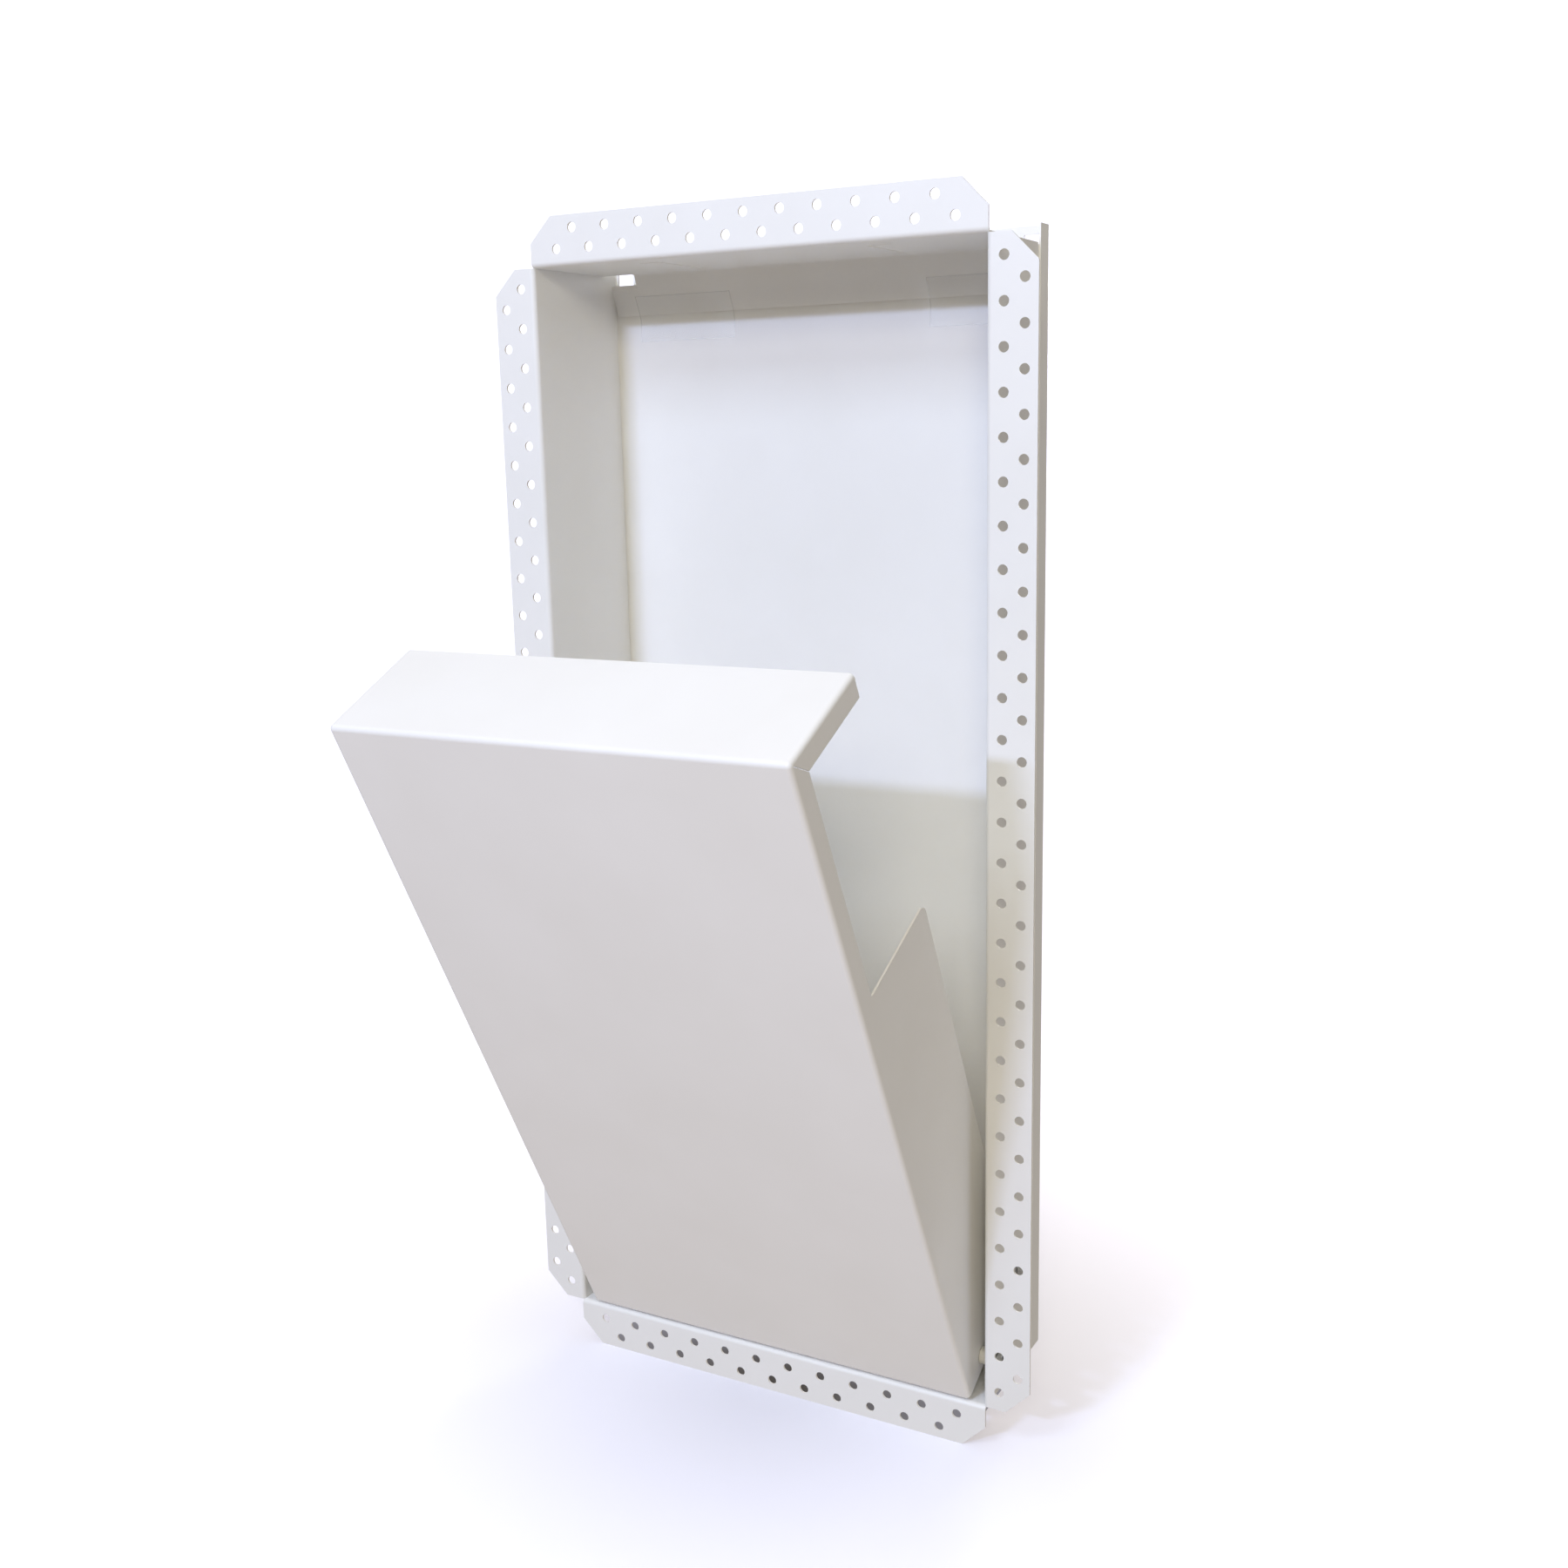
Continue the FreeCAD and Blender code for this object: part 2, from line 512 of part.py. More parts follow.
def hopper_floor_pan():
    """Shallow pan between the cheeks: the hopper's floor with an upturned rim."""
    body = new_body("hopper_floor_pan")
    half = f"({HOPPER_HALF} - Sizes.sheet)"
    front, rear = f"({HOPPER_FRONT} + Sizes.sheet)", f"({HOPPER_FRONT} + Sizes.cheek_depth)"
    block = new_sketch(body, "block", "XY_Plane", HOPPER_BASE)
    add_rectangle(block, f"-{half}", half, front, rear)
    add_pad(body, block, "Sizes.pan_height")
    inside = new_sketch(body, "inside", "XY_Plane", f"{HOPPER_BASE} + Sizes.pan_height")
    inner_half = f"({half} - Sizes.sheet)"
    inner_front = f"{front} + Sizes.sheet"
    inner_rear = f"{rear} - Sizes.sheet"
    add_rectangle(inside, f"-{inner_half}", inner_half, inner_front, inner_rear)
    cut_to_depth(body, inside, "Sizes.pan_height - Sizes.sheet")
    skins = (("inner", inner_half, (inner_front, inner_rear),
              f"{HOPPER_BASE} + Sizes.sheet", "Sizes.bend_radius"),
             ("outer", half, (front, rear), HOPPER_BASE, OUTER_BEND))
    for skin, side, ends, floor, radius in skins:
        corners = [name for x in (side, f"-{side}") for y in ends for name in edges_at(body, x=x, y=y)]
        round_edges(body, f"{skin}_bends", corners + edges_at(body, z=floor), radius)
    pivot_holes = new_sketch(body, "pivot_holes", "YZ_Plane")
    add_circle(pivot_holes, "0", "0", "Sizes.bush_diameter")
    cut_through(body, pivot_holes)
    tip_open(body)


# ---------------------------------------------------------------- pivots, stops and fasteners

def turned_part(label, corners, side, y, z):
    """Body of revolution about a line along X; corners are (distance along X, radius).

    It is drawn for the right-hand side, and turned half round about Z for the left.
    """
    body = new_body(label)
    section = new_sketch(body, "section", "XY_Plane")
    add_outline(section, corners)
    turning = body.newObject("PartDesign::Revolution", f"{label}_turned")
    turning.Profile = section
    turning.ReferenceAxis = (section, ["H_Axis"])
    turning.Angle = 360
    doc.recompute()
    half_turn = 180 if side == "left" else 0
    body.Placement = FreeCAD.Placement(FreeCAD.Vector(), FreeCAD.Rotation(FreeCAD.Vector(0, 0, 1), half_turn))
    bind(body, Placement__Base__y=y, Placement__Base__z=z)
    return body


def tube(start, end, outer, inner):
    """Section of a plain tube along X, by its two radii."""
    return [(start, inner), (end, inner), (end, outer), (start, outer)]


def socket_screw(label, side, y, z, shank):
    """Screw whose head faces the inside of the hopper, with a hexagon socket.

    shank is its outline from the head's underside to the thread's end.
    """
    under_head = shank[0][0]
    head_face = f"({under_head} - Sizes.screw_head_height)"
    outline = [(head_face, "0"), (shank[-1][0], "0"), *reversed(shank),
               (under_head, "Sizes.screw_head / 2"), (head_face, "Sizes.screw_head / 2")]
    body = turned_part(label, outline, side, y, z)
    socket = new_sketch(body, "socket", "YZ_Plane", head_face)
    corner = "Sizes.socket / 2 / cos(30)"
    hexagon = [(f"{corner} * cos({60 * step})", f"{corner} * sin({60 * step})") for step in range(6)]
    add_outline(socket, hexagon)
    cut_to_depth(body, socket, "Sizes.socket_depth", reverse=True)


def pivot_parts(side):
    """Shoulder screw, flanged bush and spacer of one pivot."""
    pan_face = f"({HOPPER_HALF} - 2 * Sizes.sheet)"
    flange_face = f"({pan_face} - Sizes.bush_flange_thickness)"
    bore = "Sizes.shoulder / 2 + Sizes.running_clearance"
    barrel = "Sizes.bush_diameter / 2 - Sizes.seat_clearance"
    turned_part(f"{side}_pivot_bush", [
        (flange_face, bore), (HOPPER_HALF, bore), (HOPPER_HALF, barrel), (pan_face, barrel),
        (pan_face, "Sizes.bush_flange / 2"), (flange_face, "Sizes.bush_flange / 2"),
    ], side, PIVOT_Y, PIVOT_Z)
    turned_part(f"{side}_pivot_spacer",
                tube(f"{HOPPER_HALF} + Sizes.end_play", HALF_WIDTH, "Sizes.spacer_diameter / 2", bore),
                side, PIVOT_Y, PIVOT_Z)
    under_head = f"({flange_face} - Sizes.end_play)"
    socket_screw(f"{side}_pivot_screw", side, PIVOT_Y, PIVOT_Z, [
        (under_head, "Sizes.shoulder / 2"), (HALF_WIDTH, "Sizes.shoulder / 2"),
        (HALF_WIDTH, "Sizes.thread / 2"), (THREAD_END, "Sizes.thread / 2"),
    ])


def stop_parts(side):
    """Stop screw and rubber sleeve, which run in the cheek's arc slot and limit the tilt."""
    under_head = f"({HOPPER_HALF} - Sizes.sheet - Sizes.end_play)"
    bore = "Sizes.thread / 2 + Sizes.seat_clearance"
    turned_part(f"{side}_stop_sleeve", tube(under_head, HALF_WIDTH, "Sizes.stop_sleeve / 2", bore),
                side, STOP_Y, STOP_Z)
    socket_screw(f"{side}_stop_screw", side, STOP_Y, STOP_Z, [
        (under_head, "Sizes.thread / 2"), (THREAD_END, "Sizes.thread / 2"),
    ])


SCREW_PLACES = [(side, y, z) for side in (1, -1) for y, z in ((PIVOT_Y, PIVOT_Z), (STOP_Y, STOP_Z))]


def fastener_group(label, outer_type, start, thickness, bore, **outer_sizes):
    """Four alike nuts or washers on the screws, outside the side walls."""
    pieces = []
    for number, (side, y, z) in enumerate(SCREW_PLACES, 1):
        blank = doc.addObject(outer_type, f"{label}_blank_{number}")
        drill = doc.addObject("Part::Cylinder", f"{label}_bore_{number}")
        bind(blank, Height=thickness, **outer_sizes)
        bind(drill, Height=thickness, Radius=bore)
        piece = doc.addObject("Part::Cut", f"{label}_{number}")
        piece.Base = blank
        piece.Tool = drill
        along_x = FreeCAD.Rotation(FreeCAD.Vector(0, 1, 0), side * 90)
        piece.Placement = FreeCAD.Placement(FreeCAD.Vector(), along_x)
        bind(piece, Placement__Base__x=f"{side} * ({start})", Placement__Base__y=y, Placement__Base__z=z)
        pieces.append(piece)
    group = doc.addObject("Part::Compound", label)
    group.Label = label
    group.Links = pieces


side_profile("right_side_profile", 0, "")
side_profile("left_side_profile", 180, "-")
top_profile()
bottom_profile()
back_tray()
film_patch("left_film_patch", f"Sizes.film_inset - {HALF_WIDTH}", "Sizes.left_film_width")
film_patch("right_film_patch", f"{HALF_WIDTH} - Sizes.film_inset - Sizes.right_film_width",
           "Sizes.right_film_width")
hopper_shell()
hopper_floor_pan()
for hand in ("right", "left"):
    pivot_parts(hand)
    stop_parts(hand)
fastener_group("screw_washers", "Part::Cylinder", WALL_OUTSIDE, "Sizes.washer_thickness",
               "Sizes.wall_hole / 2", Radius="Sizes.washer_diameter / 2")
fastener_group("screw_nuts", "Part::Prism", f"{WALL_OUTSIDE} + Sizes.washer_thickness", "Sizes.nut_thickness",
               "Sizes.thread / 2 + Sizes.seat_clearance", Circumradius="Sizes.nut_flats / 2 / cos(30)")
doc.recompute()

# ---------------------------------------------------------------- checks and export

for item in doc.Objects:
    if "Invalid" in item.State or "Error" in item.State:
        raise RuntimeError(f"{item.Label} failed: {item.State}")
    if item.TypeId == "PartDesign::Pocket" and item.Shape.Volume >= item.BaseFeature.Shape.Volume:
        raise RuntimeError(f"{item.Label} cuts nothing")

nodes = [item for item in doc.Objects if item.TypeId in ("PartDesign::Body", "Part::Compound")]
os.makedirs("parts", exist_ok=True)
for node in nodes:
    if node.Shape.isNull() or not node.Shape.isValid():
        raise RuntimeError(f"{node.Label} has no valid shape")
    node.Shape.exportStep(f"parts/{node.Label}.step")
    print(f"{node.Label}: {len(node.Shape.Solids)} solid(s), {node.Shape.Volume:.0f} mm3")
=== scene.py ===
"""Looks of the plaster-in wall niche with a tilt-out hopper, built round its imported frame.

The folded sheets, bushes, spacers, sleeves and washers are the frame's own parts and get their
finishes here. The clear film patches, the threaded screws and the chamfered nuts are made here.
Everything is in metres, in the frame's own axes: X right, Y into the wall, Z up.
"""
import math

import bpy
import numpy as np
from bpy.props import FloatProperty, FloatVectorProperty, PointerProperty
from mathutils import Matrix, Vector


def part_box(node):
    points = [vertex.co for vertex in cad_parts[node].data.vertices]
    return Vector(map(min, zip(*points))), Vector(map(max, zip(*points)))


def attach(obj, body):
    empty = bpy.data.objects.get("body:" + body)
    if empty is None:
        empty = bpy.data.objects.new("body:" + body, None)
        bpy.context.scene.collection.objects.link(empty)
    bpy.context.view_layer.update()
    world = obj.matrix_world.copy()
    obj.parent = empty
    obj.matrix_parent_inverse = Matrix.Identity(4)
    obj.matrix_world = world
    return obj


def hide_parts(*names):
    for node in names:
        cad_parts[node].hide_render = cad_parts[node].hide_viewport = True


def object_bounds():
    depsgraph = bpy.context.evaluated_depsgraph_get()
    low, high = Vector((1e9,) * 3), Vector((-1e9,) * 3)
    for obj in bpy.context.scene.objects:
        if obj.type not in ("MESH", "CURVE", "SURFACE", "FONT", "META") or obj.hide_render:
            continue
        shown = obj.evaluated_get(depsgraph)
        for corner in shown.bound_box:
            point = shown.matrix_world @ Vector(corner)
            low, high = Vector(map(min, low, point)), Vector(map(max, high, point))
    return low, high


bl_info = {
    "name": "Tilt-out wall niche",
    "version": (1, 0, 0),
    "blender": (4, 5, 0),
    "location": "3D View > Sidebar > Niche",
    "description": "Finishes and small parts of a folded-steel wall niche with a tilt-out hopper",
    "category": "Object",
}

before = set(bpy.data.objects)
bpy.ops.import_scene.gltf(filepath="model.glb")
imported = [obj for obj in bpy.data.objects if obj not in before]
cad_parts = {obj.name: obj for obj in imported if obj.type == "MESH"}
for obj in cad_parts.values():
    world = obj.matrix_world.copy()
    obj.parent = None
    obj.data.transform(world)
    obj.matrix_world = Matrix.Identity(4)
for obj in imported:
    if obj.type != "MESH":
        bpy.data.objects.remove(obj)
CAD_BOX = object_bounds()

MM = 0.001
HOUSING_SHEETS = ("back_tray", "left_side_profile", "right_side_profile", "top_profile", "bottom_profile")
HOPPER_SHEETS = ("hopper_shell", "hopper_floor_pan")
NYLON_PARTS = ("left_pivot_bush", "right_pivot_bush", "left_pivot_spacer", "right_pivot_spacer")
RUBBER_PARTS = ("left_stop_sleeve", "right_stop_sleeve")


def linear(hex_colour):
    """Red, green and blue in linear light of an sRGB colour such as "#f2f1ee"."""
    shares = np.array([int(hex_colour[i:i + 2], 16) for i in (1, 3, 5)]) / 255
    light = np.where(shares <= 0.04045, shares / 12.92, ((shares + 0.055) / 1.055) ** 2.4)
    return tuple(float(v) for v in light)


# ---------------------------------------------------------------- sizes and colours

def colour_property(name, description, hex_colour):
    return FloatVectorProperty(name=name, description=description, subtype="COLOR",
                               default=linear(hex_colour), min=0, max=1)


def length_property(name, description, millimetres):
    return FloatProperty(name=name, description=description, default=millimetres * MM,
                         unit="LENGTH", subtype="DISTANCE")


class NicheFinishes(bpy.types.PropertyGroup):
    """Colours and grain of the niche's finishes."""

    housing_white: colour_property("Housing white", "Powder coat of the housing", "#f5f4f1")
    hopper_white: colour_property("Hopper white", "Powder coat of the hopper", "#f5f4f2")
    peel: length_property("Orange peel", "Spacing of the coat's fine dimples", 1.4)
    peel_depth: length_property("Peel depth", "Depth of the coat's fine dimples", 0.010)
    zinc: colour_property("Zinc", "Zinc plating of the screws, nuts and washers", "#c3c5c8")
    nylon: colour_property("Nylon", "Bushes and spacers", "#e2dfd6")
    rubber: colour_property("Rubber", "Stop sleeves", "#1d1d1f")
    film: colour_property("Film", "Clear film patches", "#eef1f0")


class NicheFilm(bpy.types.PropertyGroup):
    """Sizes of the clear film patches."""

    thickness: length_property("Thickness", "Thickness of the film", 0.1)
    clearance: length_property("Clearance", "From the sheet metal to the film", 0.08)
    crease: length_property("Crease", "Height of the film's creases", 0.22)
    corner_lift: length_property("Corner lift", "How far one lower corner has come unstuck", 0.9)


class NicheScrews(bpy.types.PropertyGroup):
    """Sizes of the screws and nuts that the frame doesn't hold."""

    pitch: length_property("Thread pitch", "Distance from one thread crest to the next", 0.7)
    thread_depth: length_property("Thread depth", "From a crest down to a root", 0.42)
    edge_round: length_property("Edge round", "Rounding of the screw heads' rims", 0.4)
    head_height: length_property("Head height", "Height of the screws' heads", 2.7)
    socket_flats: length_property("Socket", "Hexagon socket, across flats", 2.5)
    socket_depth: length_property("Socket depth", "Depth of the hexagon socket", 1.5)
    shoulder: length_property("Shoulder", "Diameter of the pivot screws' shoulders", 6)
    thread: length_property("Thread", "Outside diameter of the threads", 4)
    nut_flats: length_property("Nut", "Nut, across flats", 7)
    nut_thickness: length_property("Nut thickness", "Thickness of a nut", 3.2)


class NicheStage(bpy.types.PropertyGroup):
    """The sweep, the lights and the camera."""

    sweep: colour_property("Sweep", "Paper sweep under and behind the niche", "#e6e6ee")
    # Painted shade: a darker floor colour and the box it fills under the niche, standing in for the shade in
    # that gap.
    under_niche_painted_shade: colour_property("Shade", "Colour of the floor in the gap under the niche", "#5c5b58")
    painted_shade_width: length_property("Shade width", "Width of that darker floor", 226)
    painted_shade_depth: length_property("Shade depth", "Depth of that darker floor", 76)
    wall_distance: length_property("Sweep distance", "From the wall's face to the upright sweep", 560)
    cove: length_property("Cove", "Radius of the sweep's curve", 260)
    light_size: length_property("Light size", "Side of each soft light", 600)
    front_width: length_property("Front light width", "Width of the low front light", 300)
    front_height: length_property("Front light height", "Height of the low front light", 70)
    front_colour: colour_property("Front colour", "Colour of the low front light", "#c0d0ff")
    front_power: FloatProperty(name="Front power", description="Power of the low front light",
                               default=25, unit="POWER")
    upper_colour: colour_property("Upper colour", "Colour of the high front light", "#d6e7ff")
    upper_power: FloatProperty(name="Upper power", description="Power of the high front light",
                               default=16.8, unit="POWER")
    warm_colour: colour_property("Warm colour", "Colour of the warm light from the front right", "#fff9e8")
    warm_power: FloatProperty(name="Warm power", description="Power of the warm light from the front right",
                              default=16.8, unit="POWER")
    side_colour: colour_property("Side colour", "Colour of the weak light from the right", "#bbd2ff")
    side_power: FloatProperty(name="Side power", description="Power of the weak light from the right",
                              default=5.3, unit="POWER")
    back_colour: colour_property("Back colour", "Colour of the light behind the niche", "#fffdf8")
    back_power: FloatProperty(name="Back power", description="Power of the light behind the niche",
                              default=14, unit="POWER")
    ground_colour: colour_property("Ground colour", "Warm light that the room gives back from below",
                                   "#ebded0")
    room_colour: colour_property("Room colour", "Light that the walls of the room give back", "#0a0a0a")
    ceiling_colour: colour_property("Ceiling colour", "Light from overhead", "#e0d6c0")
    # Painted light: the sweep glows though it is no lamp, dim at the niche's foot, which paints shade there,
    # and full away from it.
    near_painted_glow: colour_property("Near glow", "Light through the sweep at the niche's foot", "#28282e")
    far_painted_glow: colour_property("Far glow", "Light through the sweep away from the niche", "#dcdcee")
    glow_start: length_property("Glow start", "Distance from the niche's foot where the near glow ends", 20)
    glow_end: length_property("Glow end", "Distance from the niche's foot where the far glow is full", 450)
    camera_place: FloatVectorProperty(name="Camera", description="Where the camera stands",
                                      default=(0.42096, -0.74127, 0.20504), unit="LENGTH",
                                      subtype="TRANSLATION")
    camera_target: FloatVectorProperty(name="Target", description="What the camera looks at",
                                       default=(0.01525, 0.0, 0.02921), unit="LENGTH",
                                       subtype="TRANSLATION")
    camera_roll: FloatProperty(name="Roll", description="Turn of the camera about its own line of sight",
                               default=math.radians(-1.27), unit="ROTATION", subtype="ANGLE")
    lens: FloatProperty(name="Lens", description="Focal length on a 36 mm sensor",
                        default=38.9455, unit="CAMERA")


# ---------------------------------------------------------------- materials

def add_node(tree, kind, settings=None, values=None, links=None):
    """Adds one node. settings are its own options, values stand on its inputs, links feed its inputs."""
    node = tree.nodes.new(kind)
    for name, value in (settings or {}).items():
        setattr(node, name, value)
    for name, value in (values or {}).items():
        node.inputs[name].default_value = value
    for name, socket in (links or {}).items():
        tree.links.new(socket, node.inputs[name])
    return node


def new_material(name):
    """An empty node material, its tree, and the Object coordinates that its patterns lie in."""
    material = bpy.data.materials.new(name)
    material.use_nodes = True
    tree = material.node_tree
    tree.nodes.clear()
    place = add_node(tree, "ShaderNodeTexCoord").outputs["Object"]
    return material, tree, place


def noise(tree, place, size, detail=2.0):
    """Soft random pattern whose lumps are size metres apart."""
    return add_node(tree, "ShaderNodeTexNoise", values={"Scale": 1 / size, "Detail": detail},
                    links={"Vector": place}).outputs["Fac"]


def spread(tree, pattern, low, high):
    """Turns the middle of a 0 to 1 pattern into values from low to high."""
    return add_node(tree, "ShaderNodeMapRange",
                    values={"From Min": 0.3, "From Max": 0.7, "To Min": low, "To Max": high},
                    links={"Value": pattern}).outputs["Result"]


def shades(tree, pattern, colour, darker, tint=(1, 1, 1)):
    """Colour that varies with a pattern from a slightly darker, tinted one to the full one."""
    dark = tuple(c * darker * t for c, t in zip(colour, tint))
    mix = add_node(tree, "ShaderNodeMix", settings={"data_type": "RGBA"}, links={0: pattern})
    mix.inputs[6].default_value = (*dark, 1)
    mix.inputs[7].default_value = (*colour, 1)
    return mix.outputs[2]


def finish_material(tree, values, links):
    """Ends a material with its Principled shader and output."""
    shader = add_node(tree, "ShaderNodeBsdfPrincipled", values=values, links=links)
    add_node(tree, "ShaderNodeOutputMaterial", links={"Surface": shader.outputs["BSDF"]})


def powder_coat(name, colour, finishes):
    """White polyester powder coat, sprayed on as dry powder and baked on folded sheet steel.

    It gives a satin white with a broad soft shine. Melted powder leaves a fine orange peel of
    about 1.4 mm dimples over a slower swell, and a barely uneven shine where it lies thicker.
    """
    cloud_size, shine_size, swell_size = 55 * MM, 30 * MM, 5 * finishes.peel
    swell_over_dimples = 2.5
    thinnest, thinnest_tint = 0.975, (1, 0.998, 0.992)
    glossiest, dullest = 0.36, 0.44
    material, tree, place = new_material(name)
    cloud = noise(tree, place, cloud_size, detail=3)
    dimples = noise(tree, place, finishes.peel, detail=1)
    swell = noise(tree, place, swell_size, detail=1)
    height = add_node(tree, "ShaderNodeMath", settings={"operation": "MULTIPLY_ADD"},
                      values={1: swell_over_dimples}, links={0: swell, 2: dimples})
    bump = add_node(tree, "ShaderNodeBump", values={"Strength": 1, "Distance": finishes.peel_depth},
                    links={"Height": height.outputs["Value"]})
    finish_material(tree, values={"IOR": 1.5, "Metallic": 0.0}, links={
        "Base Color": shades(tree, spread(tree, cloud, 0, 1), colour, thinnest, thinnest_tint),
        "Roughness": spread(tree, noise(tree, place, shine_size), glossiest, dullest),
        "Normal": bump.outputs["Normal"],
    })
    return material


def zinc_plate(name, colour):
    """Steel with bright zinc electroplating, passivated clear.

    It is a grey metal with a faintly cloudy shine, blotched at about 2 mm, over fine pits of 0.3 mm.
    """
    pit_size, pit_depth, cloud_size, shine_size = 0.3 * MM, 0.004 * MM, 2 * MM, 1.2 * MM
    darkest, darkest_tint = 0.82, (1, 1, 0.96)
    glossiest, dullest = 0.28, 0.46
    material, tree, place = new_material(name)
    bump = add_node(tree, "ShaderNodeBump", values={"Strength": 1, "Distance": pit_depth},
                    links={"Height": noise(tree, place, pit_size)})
    cloud = spread(tree, noise(tree, place, cloud_size), 0, 1)
    finish_material(tree, values={"Metallic": 1.0}, links={
        "Base Color": shades(tree, cloud, colour, darkest, darkest_tint),
        "Roughness": spread(tree, noise(tree, place, shine_size), glossiest, dullest),
        "Normal": bump.outputs["Normal"],
    })
    return material


def moulded(name, colour, grain, depth, roughness):
    """Solid polymer with the fine grain of its mould or of its last cut.

    It is matt and even, and slightly cloudy over 3 mm. grain and depth are the spacing and the
    depth of the surface's marks.
    """
    cloud_size, shine_size = 3 * MM, 1.5 * MM
    darkest, uneven = 0.88, 0.06
    material, tree, place = new_material(name)
    bump = add_node(tree, "ShaderNodeBump", values={"Strength": 1, "Distance": depth},
                    links={"Height": noise(tree, place, grain)})
    cloud = spread(tree, noise(tree, place, cloud_size), 0, 1)
    shine = spread(tree, noise(tree, place, shine_size), roughness - uneven, roughness + uneven)
    finish_material(tree, values={"IOR": 1.53, "Metallic": 0.0}, links={
        "Base Color": shades(tree, cloud, colour, darkest),
        "Roughness": shine,
        "Normal": bump.outputs["Normal"],
    })
    return material


def clear_film(name, colour):
    """Clear self-adhesive polyester film, cast smooth and pressed on by hand.

    Most light goes straight through. It shows by its gloss, its creases, its whitish cut rim and
    the glue, which is uneven over about 6 mm.
    """
    glue_size, shine_size = 6 * MM, 4 * MM
    middle_cover, rim_cover = 0.04, 0.16
    gluiest = 0.93
    glossiest, dullest = 0.12, 0.26
    material, tree, place = new_material(name)
    glue = spread(tree, noise(tree, place, glue_size), 0, 1)
    rim = add_node(tree, "ShaderNodeAttribute", settings={"attribute_name": "rim"}).outputs["Fac"]
    cover = add_node(tree, "ShaderNodeMapRange", values={"To Min": middle_cover, "To Max": rim_cover},
                     links={"Value": rim})
    finish_material(tree, values={"IOR": 1.57, "Metallic": 0.0}, links={
        "Alpha": cover.outputs["Result"],
        "Base Color": shades(tree, glue, colour, gluiest),
        "Roughness": spread(tree, noise(tree, place, shine_size), glossiest, dullest),
    })
    return material


def paint(nodes, material):
    """Gives the frame's own parts a finish through their material slots."""
    for name in nodes:
        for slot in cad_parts[name].material_slots:
            slot.material = material


# ---------------------------------------------------------------- surfaces

def piece_from(name, points, faces, material, smooth_below=35):
    """A mesh object with those points and faces, at the origin, with its sharp folds kept sharp."""
    mesh = bpy.data.meshes.new(name)
    mesh.from_pydata(points, [], faces)
    if mesh.validate():
        raise RuntimeError(f"{name} has faulty faces")
    mesh.shade_smooth()
    mesh.set_sharp_from_angle(angle=math.radians(smooth_below))
    mesh.materials.append(material)
    piece = bpy.data.objects.new(name, mesh)
    bpy.context.scene.collection.objects.link(piece)
    return piece


def grid_faces(rows, columns, wrap_rows=False, wrap_columns=False):
    """Four-sided faces between neighbours of a rows by columns grid, joined end to end where wrapped."""
    row, column = np.meshgrid(np.arange(rows - (not wrap_rows)),
                              np.arange(columns - (not wrap_columns)), indexing="ij")
    next_row, next_column = (row + 1) % rows, (column + 1) % columns
    corners = [row * columns + column, row * columns + next_column,
               next_row * columns + next_column, next_row * columns + column]
    return np.stack(corners, axis=-1).reshape(-1, 4)


def turned_points(along, radii, axis_point, side):
    """Points of a body turned about a line along X.

    Each row is one station at distance along from the origin and each column one angle. A point is
    the axis point plus its radius times (cosine, sine) of its angle in Y and Z. side 1 or -1 gives
    the right-hand part or its copy turned half round about the vertical.
    """
    angles = np.linspace(0, 2 * np.pi, radii.shape[1], endpoint=False)
    points = np.empty(radii.shape + (3,))
    points[..., 0] = side * along[:, None]
    points[..., 1] = axis_point[0] + side * radii * np.cos(angles)
    points[..., 2] = axis_point[1] + radii * np.sin(angles)
    return points.reshape(-1, 3)


def hexagon_radii(flats, columns):
    """Radius of a hexagon in each direction: half its flats over the cosine of the angle from a flat."""
    angles = np.linspace(0, 2 * np.pi, columns, endpoint=False)
    return flats / 2 / np.cos((angles % (np.pi / 3)) - np.pi / 6)


def axis_of(node):
    """Y and Z of the middle of a turned part's box."""
    low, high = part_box(node)
    return (low.y + high.y) / 2, (low.z + high.z) / 2


# ---------------------------------------------------------------- operators

class NICHE_OT_coat_sheets(bpy.types.Operator):
    """Powder coat on the folded sheets of the housing and the hopper"""

    bl_idname = "niche.coat_sheets"
    bl_label = "Coat the sheets"

    def execute(self, context):
        finishes = context.scene.niche_finishes
        paint(HOUSING_SHEETS, powder_coat("polyester_powder_coat_housing", finishes.housing_white, finishes))
        paint(HOPPER_SHEETS, powder_coat("polyester_powder_coat_hopper", finishes.hopper_white, finishes))
        return {"FINISHED"}


class NICHE_OT_small_parts(bpy.types.Operator):
    """Nylon on the bushes and spacers, rubber on the stop sleeves, zinc on the washers"""

    bl_idname = "niche.small_parts"
    bl_label = "Finish the small parts"

    def execute(self, context):
        finishes = context.scene.niche_finishes
        nylon = moulded("turned_natural_nylon", finishes.nylon,
                        grain=0.25 * MM, depth=0.006 * MM, roughness=0.5)
        rubber = moulded("moulded_black_rubber", finishes.rubber,
                         grain=0.4 * MM, depth=0.015 * MM, roughness=0.8)
        paint(NYLON_PARTS, nylon)
        paint(RUBBER_PARTS, rubber)
        paint(["screw_washers"], zinc_plate("zinc_plated_steel_washers", finishes.zinc))
        return {"FINISHED"}


